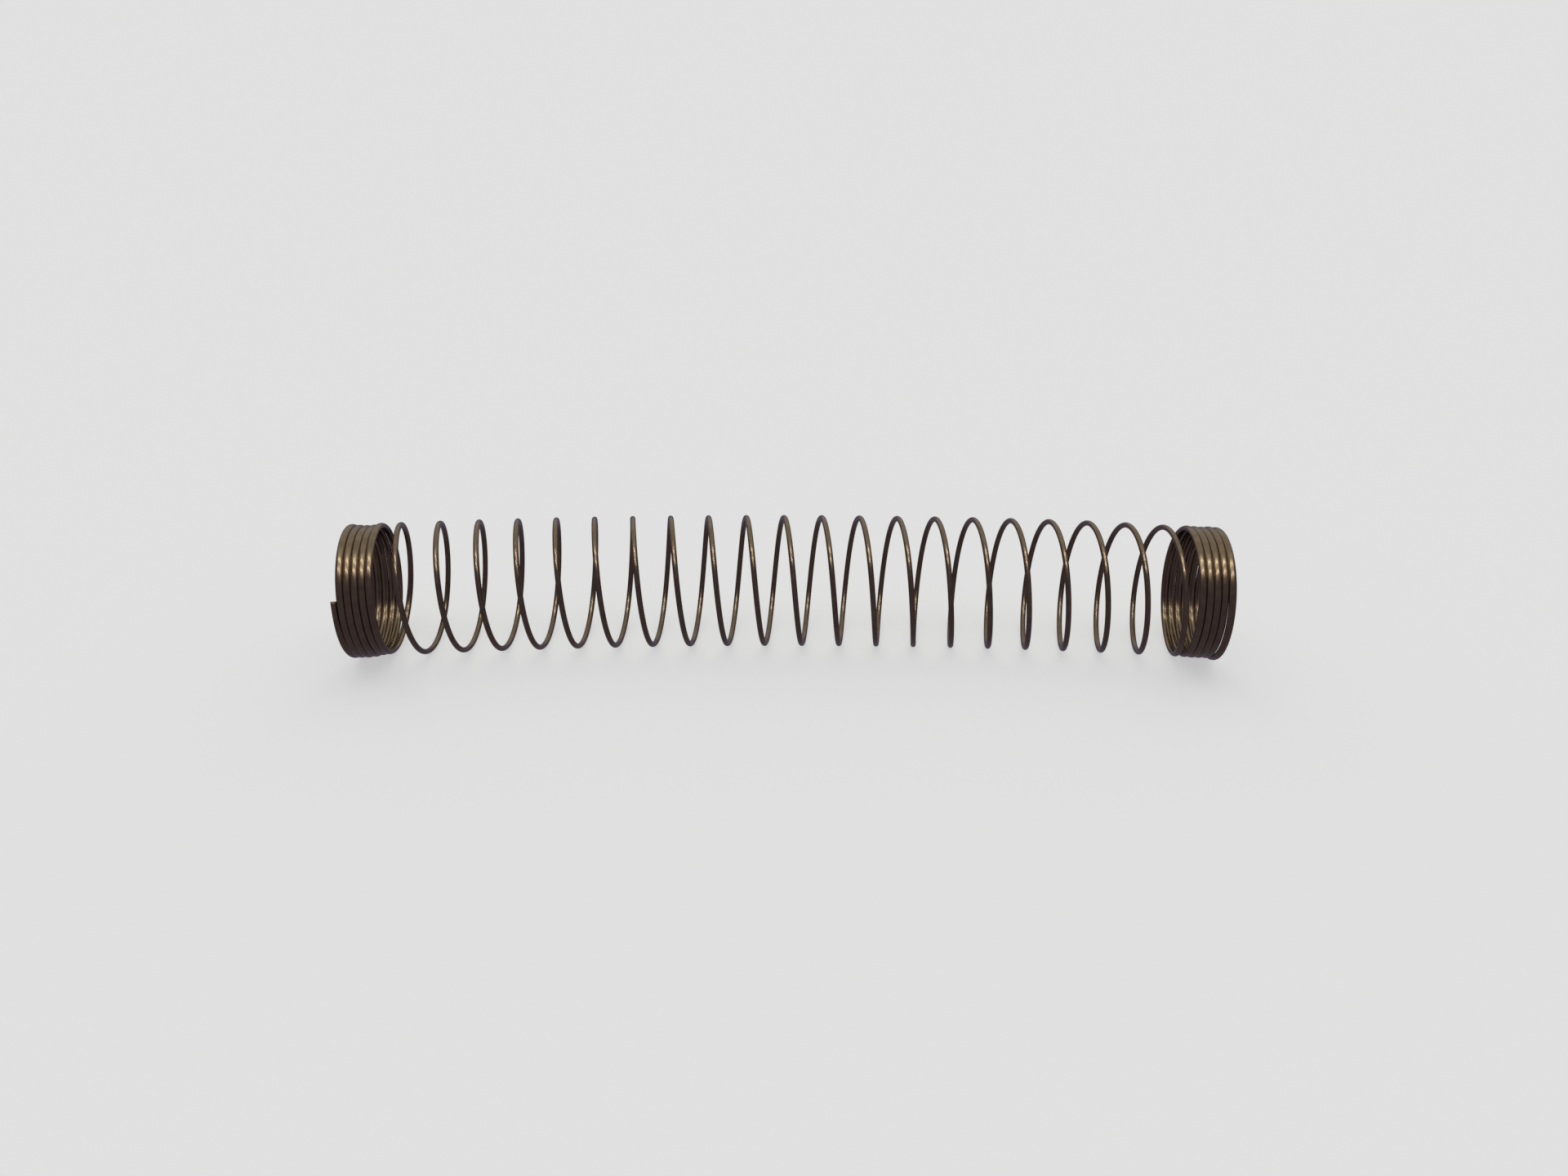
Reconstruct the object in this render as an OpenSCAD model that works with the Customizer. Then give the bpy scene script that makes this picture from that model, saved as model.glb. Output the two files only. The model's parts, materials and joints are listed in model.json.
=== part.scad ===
// Spring coil toy: one round wire wound into a long, open, right-handed coil, with a
// close-wound bunch of turns at each end. It lies on its side along X, pulled a little open
// and bowed slightly to the front at both ends.
// It rests on z = 0, and the origin is below the middle of its box. All sizes are in mm.
// The wire is round in the open turns and at its tips, and wider along the axis in between.
//
// The wire is split where the spring flexes. Each open turn is two half turns, a down the
// front and b up the back. At the top of the coil a turn slides along the axis past the
// next, and at the bottom its two halves swing about the middle of the coil. The turns of
// the end coils meet face to face and don't move on each other. They are numbered from the
// open part outwards, and the last one of each end has the cut tip.

/* [Wire and coil] */
// Diameter of the round wire
wire_d = 1; // [0.8:0.05:1]
// Mean diameter of the coil, from wire centre to wire centre
coil_d = 24; // [20:0.5:30]
// Radius of the sideways bow along the spring
bow_radius = 750; // [500:10:3000]

/* [Open turns] */
// Number of open turns between the two end coils
open_turns = 20; // [4:2:24]
// Axial distance from one open turn to the next
open_pitch = 7.13; // [6:0.01:9]

/* [End coils] */
// Axial distance from one close-wound turn to the next
closed_pitch = 1.3; // [1.3:0.01:2]
// Width of the wire along the axis in the end coils, where its turns all but touch
closed_wire_w = 1.27; // [1:0.01:1.27]
// Turns of wire in the left end coil
left_turns = 5.8; // [4:0.1:6]
// Turns over which the left end changes from open to close-wound
left_taper = 0.5; // [0.3:0.01:2.5]
// Turns past the open part where that change starts
left_taper_from = 0.21; // [0:0.01:0.4]
// Turns of wire in the right end coil
right_turns = 5.8; // [4:0.1:6]
// Turns over which the right end changes from open to close-wound
right_taper = 0.38; // [0.3:0.01:2.5]
// Turns past the open part where that change starts
right_taper_from = 0.33; // [0:0.01:0.4]
// Share of the right end's change that is spread over the last of its open turns instead
right_slack = 0.15; // [0:0.01:0.3]

/* [Cut tips] */
// How far the left tip stands off the coil along the axis
left_tip_off = -0.12; // [-0.12:0.01:1]
// How far the right tip stands off the coil along the axis
right_tip_off = -0.05; // [-0.12:0.01:1]
// How far the right tip stands to the front
right_tip_front = 0.9; // [0:0.05:1.2]
// Turns over which a tip bends off
tip_bend = 1; // [0.4:0.05:1]

/* [Joints] */
// Gap between the cut faces of two neighbouring stretches of wire
joint_gap = 0.24; // [0.15:0.01:0.5]

/* [Hidden] */
// Sides of the wire's section, and rings along each turn
sides = 8;
rings_per_turn = 36;
// Section radius that gives the polygon the area of the round wire
section_r = wire_d / 2 * sqrt(2 * PI / (sides * sin(360 / sides)));
coil_r = coil_d / 2;
half_count = open_turns / 2;
half_gap_turns = joint_gap / 2 / (PI * coil_d);
left_end = -half_count - left_turns;
right_end = half_count + right_turns;
wire_colour = [0.36, 0.29, 0.22];
// The wire widens over this many turns, from this many turns past the open part, and it
// narrows to round again over the last turns before a tip
widening_turns = 0.5;
widening_from = 0.15;
narrowing_turns = 0.9;
// Where the right end's slack starts before the end of the open part, and over how many turns
slack_lead = 1.2;
slack_turns = 2;

// Places along the wire are turns counted from the top of the middle turn, negative to
// the left. The wire passes the top of the coil at whole turns and the bottom at halves.
// A span is a node's name and the places where its wire starts and ends.
function turn_name(n, half) = str("turn_", n < 10 ? "0" : "", n, "_", half);
LEFT_SPANS = [for (n = [1:ceil(left_turns)])
    let (to = 1 - half_count - n)
    [str("left_end_turn_", n), max(left_end, to - 1), n == 1 ? to - half_gap_turns : to]];
OPEN_SPANS = [for (n = [1:open_turns], half = [0, 1])
    let (from = n - 1 - half_count + half / 2)
    [turn_name(n, half == 0 ? "a" : "b"), from + half_gap_turns, from + 0.5 - half_gap_turns]];
RIGHT_SPANS = [for (n = [1:ceil(right_turns)])
    let (from = half_count + n - 1)
    [str("right_end_turn_", n), n == 1 ? from + half_gap_turns : from, min(right_end, from + 1)]];
SPANS = concat(LEFT_SPANS, OPEN_SPANS, RIGHT_SPANS);

// Smooth step from 0 to 1 over u from 0 to 1, and the area below it
function ease(u) = let (c = max(0, min(1, u))) c * c * (3 - 2 * c);
function ease_area(u) = u <= 0 ? 0 : u >= 1 ? u - 0.5 : pow(u, 3) - pow(u, 4) / 2;

// Distance along the axis on one side of the middle: the pitch eases from open to closed
function closing(turns, from, over) = over * ease_area((turns - half_count - from) / over);
function one_side(turns, from, over, slack) =
    open_pitch * turns
    - (open_pitch - closed_pitch) * (1 - slack) * closing(turns, from, over)
    - (open_pitch - closed_pitch) * slack * closing(turns, -slack_lead, slack_turns);
function axis_place(turns) = turns < 0
    ? -one_side(-turns, left_taper_from, left_taper, 0)
        - left_tip_off * ease((left_end + tip_bend - turns) / tip_bend)
    : one_side(turns, right_taper_from, right_taper, right_slack)
        + right_tip_off * ease((turns - right_end + tip_bend) / tip_bend);
function tip_front(turns) = right_tip_front * ease((turns - right_end + tip_bend) / tip_bend);

// The coil's axis is a level arc, and its ends curve to the front (-Y)
function axis_angle(turns) = axis_place(turns) / bow_radius * 180 / PI;
function axis_centre(angle) = [bow_radius * sin(angle), bow_radius * (cos(angle) - 1), 0];
function axis_along(angle) = [cos(angle), -sin(angle), 0];
function axis_back(angle) = [sin(angle), cos(angle), 0];

// How many times as wide along the axis the wire is as in the open turns
function widening(turns) =
    let (to_tip = turns < 0 ? turns - left_end : right_end - turns)
    1 + (closed_wire_w / wire_d - 1)
        * ease((abs(turns) - half_count - widening_from) / widening_turns)
        * ease(to_tip / narrowing_turns);

// One ring of points around the wire
function ring(turns) =
    let (
        angle = axis_angle(turns),
        out = cos(360 * turns) * [0, 0, 1] - sin(360 * turns) * axis_back(angle),
        centre = axis_centre(angle) + coil_r * out - tip_front(turns) * axis_back(angle)
    )
    [for (i = [0:sides - 1])
        let (phi = 360 * (i + 0.5) / sides)
        centre + section_r * (cos(phi) * out + widening(turns) * sin(phi) * axis_along(angle))];

function ring_count(from, to) = max(2, round((to - from) * rings_per_turn)) + 1;
function rings(from, to) =
    let (last = ring_count(from, to) - 1)
    [for (k = [0:last]) ring(from + (to - from) * k / last)];

// The box of the whole wire, which sets the origin
cloud = [for (span = SPANS, one = rings(span[1], span[2]), p = one) p];
xs = [for (p = cloud) p[0]];
ys = [for (p = cloud) p[1]];
zs = [for (p = cloud) p[2]];
origin = [(min(xs) + max(xs)) / 2, (min(ys) + max(ys)) / 2, min(zs)];

// A closed solid of the wire from one place to another
module wire_stretch(from, to) {
    count = ring_count(from, to);
    points = [for (one = rings(from, to), p = one) p - origin];
    skin = [for (k = [0:count - 2], i = [0:sides - 1])
        let (a = k * sides + i, b = k * sides + (i + 1) % sides)
        [a, b, b + sides, a + sides]];
    first_face = [for (i = [sides - 1:-1:0]) i];
    last_face = [for (i = [0:sides - 1]) (count - 1) * sides + i];
    polyhedron(points = points, faces = concat(skin, [first_face], [last_face]), convexity = 10);
}

module end_turn(span) {
    color(wire_colour) wire_stretch(span[1], span[2]);
}

module half_turn(span) {
    color(wire_colour) wire_stretch(span[1], span[2]);
}

for (span = concat(LEFT_SPANS, RIGHT_SPANS)) {
    end_turn(span);
}
for (span = OPEN_SPANS) {
    half_turn(span);
}
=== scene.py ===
"""The looks of the spring coil toy: its bronze wire, the floor, the light and the camera."""
import json
import math

import bpy
import numpy as np
from mathutils import Matrix, Vector


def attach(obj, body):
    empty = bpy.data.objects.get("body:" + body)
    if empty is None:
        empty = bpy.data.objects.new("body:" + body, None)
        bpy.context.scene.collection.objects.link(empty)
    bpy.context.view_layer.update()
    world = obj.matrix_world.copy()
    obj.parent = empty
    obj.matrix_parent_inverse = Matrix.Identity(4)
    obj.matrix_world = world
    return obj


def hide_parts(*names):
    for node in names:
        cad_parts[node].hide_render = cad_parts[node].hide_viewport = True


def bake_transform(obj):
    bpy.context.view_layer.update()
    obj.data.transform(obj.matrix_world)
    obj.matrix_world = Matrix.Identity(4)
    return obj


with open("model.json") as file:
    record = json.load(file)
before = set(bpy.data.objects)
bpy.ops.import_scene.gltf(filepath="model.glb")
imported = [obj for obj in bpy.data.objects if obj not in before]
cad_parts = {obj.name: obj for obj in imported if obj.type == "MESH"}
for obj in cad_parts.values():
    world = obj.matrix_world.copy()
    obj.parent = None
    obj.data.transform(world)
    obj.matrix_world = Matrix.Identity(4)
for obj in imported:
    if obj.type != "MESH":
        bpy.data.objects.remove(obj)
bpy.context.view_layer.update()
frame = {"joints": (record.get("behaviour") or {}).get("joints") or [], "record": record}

MM = 0.001

# ---------------------------------------------------------------- dimensions
# The wire follows the CAD model's own line. Places along it are turns counted from the top
# of the middle turn, negative to the left: tops are whole turns and bottoms are halves.
WIRE_R = 0.5 * MM
COIL_R = 12 * MM
BOW_R = 750 * MM
OPEN_TURNS = 20
OPEN_PITCH = 7.13 * MM
CLOSED_PITCH = 1.3 * MM
TIP_BEND_TURNS = 1.0
LEFT = {"turns": 5.8, "taper": 0.5, "from": 0.21, "slack": 0.0, "tip_off": -0.12 * MM}
RIGHT = {"turns": 5.8, "taper": 0.38, "from": 0.33, "slack": 0.15, "tip_off": -0.05 * MM}
SLACK_LEAD = 1.2
SLACK_TURNS = 2
HALF_COUNT = OPEN_TURNS / 2
LEFT_END = -HALF_COUNT - LEFT["turns"]
RIGHT_END = HALF_COUNT + RIGHT["turns"]

# The last turn at the right bulges to the front, and comes back before its tip over some turns
RIGHT_BULGE = 0.8 * MM
BULGE_BACK_FROM = 0.35
BULGE_BACK_OVER = 0.2

# The wire widens in the end coils, mostly along the axis, until its turns all but touch, and
# narrows again to its tips
CLOSED_WIRE_W = 1.296 * MM
CLOSED_WIRE_H = 1.08 * MM
WIDENING_TURNS = 0.5
WIDENING_FROM = 0.15
NARROWING_TURNS = 0.15

# The mesh of the wire
SIDES = 24
RINGS_PER_TURN = 96

# How far from the bottom of a turn its wire bends, in turns, and where the end coils stop
# being rigid
SIDE_BEND_HALF = 12 / 360
ARCH_BEND_HALF = 30 / 360
LEFT_RIGID_TO = -10.5
RIGHT_RIGID_FROM = 10.6
LINK_EASE = 0.15

# The wire cutter's mark at a tip: two slopes that meet in a ridge, and a rounded rim. Its rings
# are shares of the wire's radius, each with its share of the rim's height.
TIP_RIDGE = 0.22 * MM
TIP_RIM = 0.05 * MM
TIP_RINGS = ((1.0, 0.0), (0.96, 0.6), (0.88, 1.0), (0.5, 1.0), (0.12, 1.0))


# ---------------------------------------------------------------- the wire's line
def ease(u):
    """Smooth step from 0 to 1 over u from 0 to 1."""
    u = np.clip(u, 0, 1)
    return u * u * (3 - 2 * u)


def ease_area(u):
    """The area below that step."""
    inside = np.clip(u, 0, 1)
    return inside**3 - inside**4 / 2 + np.maximum(u - 1, 0)


def closing(turns, start, over):
    """Turns of open pitch given up by this place, where the pitch closes over some turns."""
    return over * ease_area((turns - HALF_COUNT - start) / over)


def side_length(turns, end):
    """Distance along the axis on one side of the middle: the pitch eases from open to closed."""
    quick = (1 - end["slack"]) * closing(turns, end["from"], end["taper"])
    slow = end["slack"] * closing(turns, -SLACK_LEAD, SLACK_TURNS)
    return OPEN_PITCH * turns - (OPEN_PITCH - CLOSED_PITCH) * (quick + slow)


def tip_share(turns, end):
    """How much of its bend a tip has made, from 0 to 1."""
    return ease((turns - HALF_COUNT - end["turns"] + TIP_BEND_TURNS) / TIP_BEND_TURNS)


def gathered(turns):
    """The bottom of the first close-wound turn lies nearer to the next one than its pitch says."""
    most = 0.2 * MM
    past = turns - HALF_COUNT
    return most * ease((past - 0.3) / 0.15) * (1 - ease((past - 0.5) / 0.25))


def axis_place(turns):
    """Distance along the axis from the top of the middle turn, negative to the left."""
    away = np.abs(turns)
    left = -side_length(away, LEFT) - LEFT["tip_off"] * tip_share(away, LEFT)
    right = side_length(away, RIGHT) + RIGHT["tip_off"] * tip_share(away, RIGHT)
    return np.where(turns < 0, left, right) + np.sign(turns) * gathered(away)


def axis_centre(angle):
    """The coil's axis, a level arc whose ends curve to the front, from its middle."""
    return np.stack([BOW_R * np.sin(angle), BOW_R * (np.cos(angle) - 1), 0 * angle], -1)


def stray(turns):
    """How far the wire strays from a true coil: to the back, up at its tops, up at its bottoms.

    The left end coil has a waist at its tops, and its first bottoms are lifted. The tops sag
    towards the right end. Both end coils are a little uneven.
    """
    waist_depth, sag_depth, lift = 0.43 * MM, 0.42 * MM, 0.45 * MM
    uneven_up, uneven_back = 0.05 * MM, 0.06 * MM
    past = np.abs(turns) - HALF_COUNT
    closed = ease(past)
    waist = -waist_depth * np.sin(math.pi * np.clip(past / LEFT["turns"], 0, 1)) ** 2
    sag = -sag_depth * ease((past + 2.5) / 3.5)
    ripple = uneven_up * np.sin(2.3 * turns + 0.8) * closed
    top_up = np.where(turns < 0, waist, sag) + ripple
    lifted = lift * ease(past / 0.5) * (1 - ease((past - 0.5) / 3))
    bottom_up = np.where(turns < 0, lifted, 0)
    back = uneven_back * np.sin(1.7 * turns + 2.1) * closed
    return back, top_up, bottom_up


def bulge(turns):
    """How far the last turn at the right stands to the front."""
    back_again = ease((turns - RIGHT_END + BULGE_BACK_FROM) / BULGE_BACK_OVER)
    share = np.where(turns > 0, tip_share(np.abs(turns), RIGHT), 0)
    return RIGHT_BULGE * share * (1 - back_again)


def spring_middle():
    """Where the middle of the axis is in the row frame: a bend's joint gives it."""
    first_half_turn = 0.5
    name = f"side_bend_{OPEN_TURNS // 2 + 1:02d}"
    joint = next(j for j in frame["joints"] if j["name"] == name)
    angle = axis_place(np.array(first_half_turn)) / BOW_R
    return np.array(joint["pos_m"]) - axis_centre(angle)


MIDDLE = spring_middle()


def wire_line(turns):
    """Points on the middle of the wire, and the directions out of the coil there."""
    angle = axis_place(turns) / BOW_R
    back = np.stack([np.sin(angle), np.cos(angle), 0 * angle], -1)
    up = np.array([0.0, 0.0, 1.0])
    turned = 2 * math.pi * turns[:, None]
    out = np.cos(turned) * up - np.sin(turned) * back
    stray_back, top_up, bottom_up = stray(turns)
    top_share = (1 + np.cos(turned)) / 2
    raised = top_up[:, None] * top_share + bottom_up[:, None] * (1 - top_share)
    moved = (stray_back - bulge(turns))[:, None] * back + raised * up
    return MIDDLE + axis_centre(angle) + COIL_R * out + moved, out


def widening(turns):
    """How many times as wide as in the open turns the wire is: outwards, and along the axis."""
    widened = ease((np.abs(turns) - HALF_COUNT - WIDENING_FROM) / WIDENING_TURNS)
    to_tip = np.where(turns < 0, turns - LEFT_END, RIGHT_END - turns)
    share = widened * ease(to_tip / NARROWING_TURNS)
    return tuple(1 + (size / (2 * WIRE_R) - 1) * share for size in (CLOSED_WIRE_H, CLOSED_WIRE_W))


def wire_frame(turns):
    """Middle of the wire, and unit vectors out of the coil, across and along the wire."""
    step = 1e-4
    centre, out = wire_line(turns)
    along = wire_line(turns + step)[0] - wire_line(turns - step)[0]
    along /= np.linalg.norm(along, axis=1, keepdims=True)
    across = np.cross(out, along)
    across /= np.linalg.norm(across, axis=1, keepdims=True)
    out = np.cross(along, across)
    return centre, out, across, along


# ---------------------------------------------------------------- meshes
AROUND = 2 * math.pi * np.arange(SIDES) / SIDES


def ring_turns(start, end):
    """Places of the rings from start to end."""
    count = max(2, round((end - start) * RINGS_PER_TURN)) + 1
    return np.linspace(start, end, count)


def tip_rings(turns, outward):
    """Rings that close a cut tip: a rounded rim and two slopes that meet in a ridge."""
    centre, out, across, along = (v[0] for v in wire_frame(np.array([turns])))
    high, wide = widening(turns)
    out, across = high * out, wide * across
    rings = []
    for share, rim in TIP_RINGS:
        spoke = share * (np.cos(AROUND)[:, None] * out + np.sin(AROUND)[:, None] * across)
        lift = TIP_RIDGE * (1 - share * np.abs(np.cos(AROUND))) + TIP_RIM * rim
        rings.append(centre + WIRE_R * spoke + outward * lift[:, None] * along)
    return rings


def wire_mesh(name, start, end, tip_at=None):
    """A closed tube of wire from start to end, flat at both ends or cut at the one that is a tip."""
    turns = ring_turns(start, end)
    centre, out, across, _ = wire_frame(turns)
    high, wide = (times[:, None, None] for times in widening(turns))
    out_share = out[:, None] * np.cos(AROUND)[None, :, None]
    across_share = across[:, None] * np.sin(AROUND)[None, :, None]
    rings = list(centre[:, None] + WIRE_R * (high * out_share + wide * across_share))
    # The normals of a wider wire lean less to its sides, which blurs the grooves between turns
    spokes = wide * out_share + high * (high / wide) ** 2 * across_share
    spokes /= np.linalg.norm(spokes, axis=2, keepdims=True)
    before = tip_rings(start, -1)[::-1] if tip_at == "start" else []
    after = tip_rings(end, 1) if tip_at == "end" else []
    points = np.array(before + rings + after)
    ring_place = [start] * len(before) + list(turns) + [end] * len(after)

    count = len(points)
    quads = [
        (k * SIDES + i, (k + 1) * SIDES + i, (k + 1) * SIDES + j, k * SIDES + j)
        for k in range(count - 1)
        for i in range(SIDES)
        for j in [(i + 1) % SIDES]
    ]
    first_cap = list(range(SIDES))
    last_cap = [(count - 1) * SIDES + i for i in reversed(range(SIDES))]
    mesh = bpy.data.meshes.new(name)
    mesh.from_pydata(points.reshape(-1, 3), [], quads + [first_cap, last_cap])
    mesh.shade_smooth()

    plain = slice(len(before), len(before) + len(rings))
    normals = np.zeros((count, SIDES, 3))
    normals[plain] = spokes
    is_plain = np.zeros(count, bool)
    is_plain[plain] = True
    set_normals(mesh, normals.reshape(-1, 3), is_plain)
    store_places(mesh, np.array(ring_place))
    return mesh


def set_normals(mesh, normals, is_plain):
    """The given normals between the plain rings of a wire, and flat caps."""
    corners = len(mesh.loops)
    vertex = np.empty(corners, np.int32)
    mesh.loops.foreach_get("vertex_index", vertex)
    side_corners = corners - 2 * SIDES
    is_side = np.arange(corners) < side_corners
    face = np.arange(corners) // 4
    row = np.where(is_side, face // SIDES, 0)
    both_plain = is_plain[row] & is_plain[np.minimum(row + 1, len(is_plain) - 1)]
    use = is_side & both_plain
    found = np.empty(corners * 3)
    mesh.corner_normals.foreach_get("vector", found)
    found = found.reshape(-1, 3)
    found[use] = normals[vertex[use]]
    found[side_corners:side_corners + SIDES] = mesh.polygons[-2].normal
    found[side_corners + SIDES:] = mesh.polygons[-1].normal
    mesh.normals_split_custom_set(found)


def store_places(mesh, ring_place):
    """Attributes for the material: where a point is on the unrolled wire, and how far it faces out."""
    count = len(ring_place)
    wire_per_turn = 2 * math.pi * COIL_R
    place = np.empty((count, SIDES, 3))
    place[:, :, 0] = WIRE_R * np.cos(AROUND)
    place[:, :, 1] = WIRE_R * np.sin(AROUND)
    place[:, :, 2] = wire_per_turn * ring_place[:, None]
    attribute = mesh.attributes.new("wire_place", "FLOAT_VECTOR", "POINT")
    attribute.data.foreach_set("vector", place.astype(np.float32).ravel())
    facing_out = np.tile((1 + np.cos(AROUND)) / 2, count)
    attribute = mesh.attributes.new("facing_out", "FLOAT", "POINT")
    attribute.data.foreach_set("value", facing_out.astype(np.float32))


def wire_piece(name, start, end, material, tip_at=None):
    piece = bpy.data.objects.new(name, wire_mesh(name, start, end, tip_at))
    bpy.context.scene.collection.objects.link(piece)
    piece.data.materials.append(material)
    return piece


# ---------------------------------------------------------------- joints
def even_share(u):
    """From 0 to 1 at an even rate, starting and stopping smoothly."""
    rate = 1 / (1 - LINK_EASE)
    start = rate * u * u / (2 * LINK_EASE)
    middle = rate * (u - LINK_EASE / 2)
    stop = 1 - rate * (1 - u) ** 2 / (2 * LINK_EASE)
    return np.where(u < LINK_EASE, start, np.where(u > 1 - LINK_EASE, stop, middle))


def blend_along(piece, start, end, share):
    """Bakes the piece's place into its mesh and works out each ring's share of the way from one body
    to the next along the wire; the shares are not applied.
    """
    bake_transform(piece)
    turns = ring_turns(start, end)
    weights = np.repeat(share((turns - start) / (end - start)), SIDES)


def half_turn(number, half):
    return f"turn_{number:02d}_{half}"


def bottom_of(number):
    """The place of an open turn's bottom."""
    return number - HALF_COUNT - 0.5


def bend_half(number):
    """How far the wire bends to each side of a turn's bottom, where odd turns bend sideways."""
    return SIDE_BEND_HALF if number % 2 else ARCH_BEND_HALF


def make_wire(material):
    """The wire: its two rigid ends, a link over the top of each turn, and a bend at each bottom."""
    bodies = frame["record"]["behaviour"]["bodies"]
    left = wire_piece("wire_left_end", LEFT_END, LEFT_RIGID_TO, material, "start")
    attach(left, "left_end_coil")
    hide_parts(*bodies["left_end_coil"])
    right = wire_piece("wire_right_end", RIGHT_RIGID_FROM, RIGHT_END, material, "end")
    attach(right, "right_end_coil")
    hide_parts(*bodies["right_end_coil"])

    for number in range(1, OPEN_TURNS + 2):
        first, last = number == 1, number == OPEN_TURNS + 1
        start = LEFT_RIGID_TO if first else bottom_of(number - 1) + bend_half(number - 1)
        end = RIGHT_RIGID_FROM if last else bottom_of(number) - bend_half(number)
        body_a = "left_end_coil" if first else half_turn(number - 1, "b")
        body_b = "right_end_coil" if last else half_turn(number, "a")
        link = wire_piece(f"wire_link_{number:02d}", start, end, material)
        blend_along(link, start, end, even_share)
        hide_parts(*(n for body in (body_a, body_b) for n in bodies[body] if body == n))

    for number in range(1, OPEN_TURNS + 1):
        start = bottom_of(number) - bend_half(number)
        end = bottom_of(number) + bend_half(number)
        body_a, body_b = half_turn(number, "a"), half_turn(number, "b")
        bend = wire_piece(f"wire_bend_{number:02d}", start, end, material)
        blend_along(bend, start, end, ease)
        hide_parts(body_a, body_b)


# ---------------------------------------------------------------- materials
def add(tree, kind, **settings):
    node = tree.nodes.new(kind)
    for name, value in settings.items():
        setattr(node, name, value)
    return node


def noise(tree, coordinates, scale, detail, roughness=0.5):
    node = add(tree, "ShaderNodeTexNoise")
    node.inputs["Scale"].default_value = scale
    node.inputs["Detail"].default_value = detail
    node.inputs["Roughness"].default_value = roughness
    tree.links.new(coordinates, node.inputs["Vector"])
    return node.outputs["Fac"]


def ramp(tree, factor, stops):
    """A colour ramp through (place, colour) stops."""
    node = add(tree, "ShaderNodeValToRGB")
    elements = node.color_ramp.elements
    while len(elements) < len(stops):
        elements.new(0.5)
    for element, (place, colour) in zip(elements, stops):
        element.position = place
        element.color = (*colour, 1)
    tree.links.new(factor, node.inputs["Fac"])
    return node.outputs["Color"]


def mix_colour(tree, factor, first, second):
    node = add(tree, "ShaderNodeMix", data_type="RGBA")
    tree.links.new(factor, node.inputs["Factor"])
    for name, value in (("A", first), ("B", second)):
        socket = next(s for s in node.inputs if s.name == name and s.type == "RGBA")
        if isinstance(value, tuple):
            socket.default_value = (*value, 1)
        else:
            tree.links.new(value, socket)
    return next(s for s in node.outputs if s.type == "RGBA")


def maths(tree, operation, first, second):
    node = add(tree, "ShaderNodeMath", operation=operation)
    for socket, value in zip(node.inputs, (first, second)):
        if isinstance(value, (int, float)):
            socket.default_value = value
        else:
            tree.links.new(value, socket)
    return node.outputs[0]


def map_range(tree, value, from_range, to_range):
    node = add(tree, "ShaderNodeMapRange")
    tree.links.new(value, node.inputs["Value"])
    for name, number in zip(("From Min", "From Max", "To Min", "To Max"), from_range + to_range):
        node.inputs[name].default_value = number
    return node.outputs["Result"]


def antique_bronze():
    """Drawn bronze wire with a dark brown patina, rubbed a little to gold where it faces out,
    which also paints a faint gold sheen there, under a thin clear lacquer."""
    patina_dark = (0.20, 0.152, 0.100)
    patina_mid = (0.240, 0.182, 0.114)
    patina_light = (0.275, 0.212, 0.132)
    patina_red = (0.235, 0.160, 0.112)
    # Gold of rubbed wear, which also serves as a painted sheen on the wire's outward side
    rubbed_gold_and_sheen = (0.42, 0.34, 0.17)

    material = bpy.data.materials.new("antique_bronze_wire")
    material.use_nodes = True
    tree = material.node_tree
    shader = tree.nodes["Principled BSDF"]
    shader.inputs["Metallic"].default_value = 1.0
    shader.inputs["Coat Weight"].default_value = 0.25
    shader.inputs["Coat Roughness"].default_value = 0.12
    place = add(tree, "ShaderNodeAttribute", attribute_name="wire_place").outputs["Vector"]
    facing_out = add(tree, "ShaderNodeAttribute", attribute_name="facing_out").outputs["Fac"]
    drawn = add(tree, "ShaderNodeVectorMath", operation="MULTIPLY")
    tree.links.new(place, drawn.inputs[0])
    drawn.inputs[1].default_value = (1, 1, 0.03)
    # The scales are features to the metre
    streaks = noise(tree, drawn.outputs["Vector"], 7000, 3, 0.6)
    mottle = noise(tree, place, 700, 4, 0.55)
    patches = noise(tree, place, 110, 3)

    patina = ramp(tree, mottle, [(0.30, patina_dark), (0.5, patina_mid), (0.72, patina_light)])
    red_share = map_range(tree, patches, (0.45, 0.7), (0.0, 0.7))
    patina = mix_colour(tree, red_share, patina, patina_red)
    worn = map_range(tree, maths(tree, "MULTIPLY", streaks, mottle), (0.22, 0.42), (0.0, 0.15))
    # More gold where the wire faces out of the coil: partly rubbed wear, partly a painted sheen
    rub_and_sheen = maths(tree, "MULTIPLY", worn, facing_out)
    tree.links.new(mix_colour(tree, rub_and_sheen, patina, rubbed_gold_and_sheen), shader.inputs["Base Color"])
    tree.links.new(
        map_range(tree, mottle, (0.3, 0.7), (0.22, 0.28)), shader.inputs["Roughness"]
    )
    bump = add(tree, "ShaderNodeBump")
    bump.inputs["Strength"].default_value = 0.01
    bump.inputs["Distance"].default_value = 0.02 * MM
    tree.links.new(maths(tree, "ADD", streaks, mottle), bump.inputs["Height"])
    tree.links.new(bump.outputs["Normal"], shader.inputs["Normal"])
    return material


def floor_material():
    """A pale light table: it shines through from below, so shadows on it are faint. Its tint
    evens out the studio's light to a neutral grey."""
    material = bpy.data.materials.new("light_table")
    material.use_nodes = True
    shader = material.node_tree.nodes["Principled BSDF"]
    shader.inputs["Base Color"].default_value = (0.72, 0.77, 0.745, 1)
    shader.inputs["Emission Color"].default_value = (1, 1, 1, 1)
    shader.inputs["Emission Strength"].default_value = 0.5
    shader.inputs["Roughness"].default_value = 1.0
    shader.inputs["Specular IOR Level"].default_value = 0.0
    return material


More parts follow.
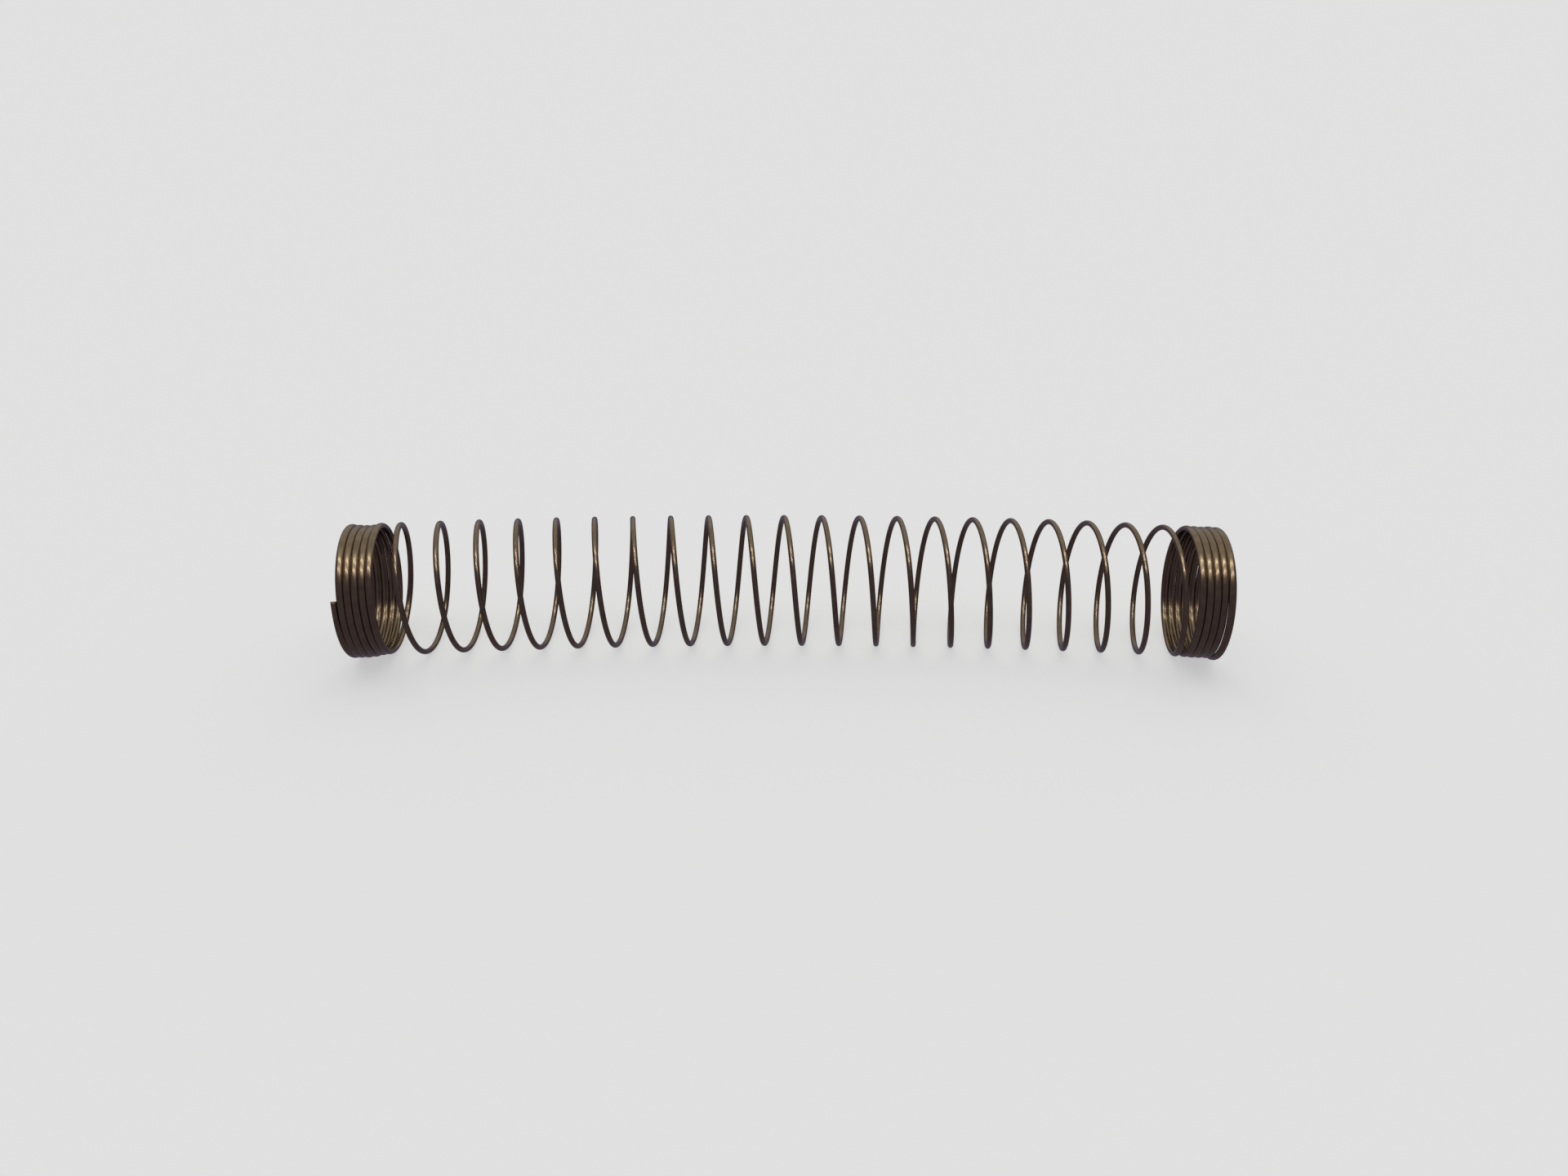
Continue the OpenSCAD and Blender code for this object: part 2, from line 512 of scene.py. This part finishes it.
# ---------------------------------------------------------------- floor, light and camera
def make_floor():
    """A flat floor, which the wire's reflections leave out."""
    size = 40
    corners = [(x * size, y * size, 0) for x, y in ((-1, -1), (1, -1), (1, 1), (-1, 1))]
    mesh = bpy.data.meshes.new("floor")
    mesh.from_pydata(corners, [], [(0, 1, 2, 3)])
    floor = bpy.data.objects.new("floor", mesh)
    bpy.context.scene.collection.objects.link(floor)
    mesh.materials.append(floor_material())
    floor.visible_glossy = False


def make_world():
    """A dim studio: a wide soft light from overhead and behind, and little light in front."""
    front_colour = (0.140, 0.122, 0.165)
    overhead_colour = (0.55, 0.53, 0.50)
    overhead_from = Vector((0, 0.57, 0.82))
    floor_colour = (0.745, 0.745, 0.748)
    world = bpy.data.worlds.new("studio")
    bpy.context.scene.world = world
    world.use_nodes = True
    tree = world.node_tree
    tree.nodes.clear()
    direction = add(tree, "ShaderNodeTexCoord").outputs["Generated"]
    nearness = add(tree, "ShaderNodeVectorMath", operation="DOT_PRODUCT")
    tree.links.new(direction, nearness.inputs[0])
    nearness.inputs[1].default_value = overhead_from
    share = map_range(tree, nearness.outputs["Value"], (0.45, 0.8), (0.0, 1.0))
    room = add(tree, "ShaderNodeBackground")
    tree.links.new(
        mix_colour(tree, share, front_colour, overhead_colour), room.inputs["Color"]
    )
    seen = add(tree, "ShaderNodeBackground")
    seen.inputs["Color"].default_value = (*floor_colour, 1)
    chosen = add(tree, "ShaderNodeMixShader")
    tree.links.new(add(tree, "ShaderNodeLightPath").outputs["Is Camera Ray"], chosen.inputs[0])
    tree.links.new(room.outputs[0], chosen.inputs[1])
    tree.links.new(seen.outputs[0], chosen.inputs[2])
    output = add(tree, "ShaderNodeOutputWorld")
    tree.links.new(chosen.outputs[0], output.inputs["Surface"])


def make_strip(name, elevation, power):
    """A long strip light above the front, level with the coil and turned to it."""
    distance, length, width = 1.5, 1.6, 0.05
    light = bpy.data.lights.new(name, "AREA")
    light.shape = "RECTANGLE"
    light.size, light.size_y = length, width
    light.energy = power
    light.color = (1.0, 0.95, 0.86)
    lamp = bpy.data.objects.new(name, light)
    bpy.context.scene.collection.objects.link(lamp)
    angle = math.radians(elevation)
    away = Vector((0, -math.cos(angle), math.sin(angle)))
    lamp.location = Vector(MIDDLE) + distance * away
    lamp.rotation_euler = away.to_track_quat("Z", "Y").to_euler()
    lamp.visible_diffuse = False
    lamp.visible_camera = False


def make_camera():
    """The camera stands where the photographer did, a little above the spring."""
    distance = 210.94 * MM
    azimuth, elevation, roll = (math.radians(a) for a in (-0.545, 27.97, 0.33))
    back = Vector((
        math.sin(azimuth) * math.cos(elevation),
        -math.cos(azimuth) * math.cos(elevation),
        math.sin(elevation),
    ))
    data = bpy.data.cameras.new("camera")
    data.lens, data.sensor_width = 25.34, 36
    data.shift_x, data.shift_y = -0.00154, -0.00479
    data.clip_start, data.clip_end = 0.01, 100
    camera = bpy.data.objects.new("camera", data)
    bpy.context.scene.collection.objects.link(camera)
    turned = (-back).to_track_quat("-Z", "Y").to_matrix().to_4x4()
    place = Matrix.Translation(Vector(MIDDLE) + distance * back)
    camera.matrix_world = place @ turned @ Matrix.Rotation(roll, 4, "Z")
    bpy.context.scene.camera = camera


def make_light():
    """The studio, and two strip lights that give the wire its two rows of highlights."""
    make_world()
    make_strip("strip_low", 65.5, 4.2)
    make_strip("strip_high", 82.5, 4.2)
    bpy.context.scene.view_settings.view_transform = "Standard"


make_camera()
make_wire(antique_bronze())
make_floor()
make_light()
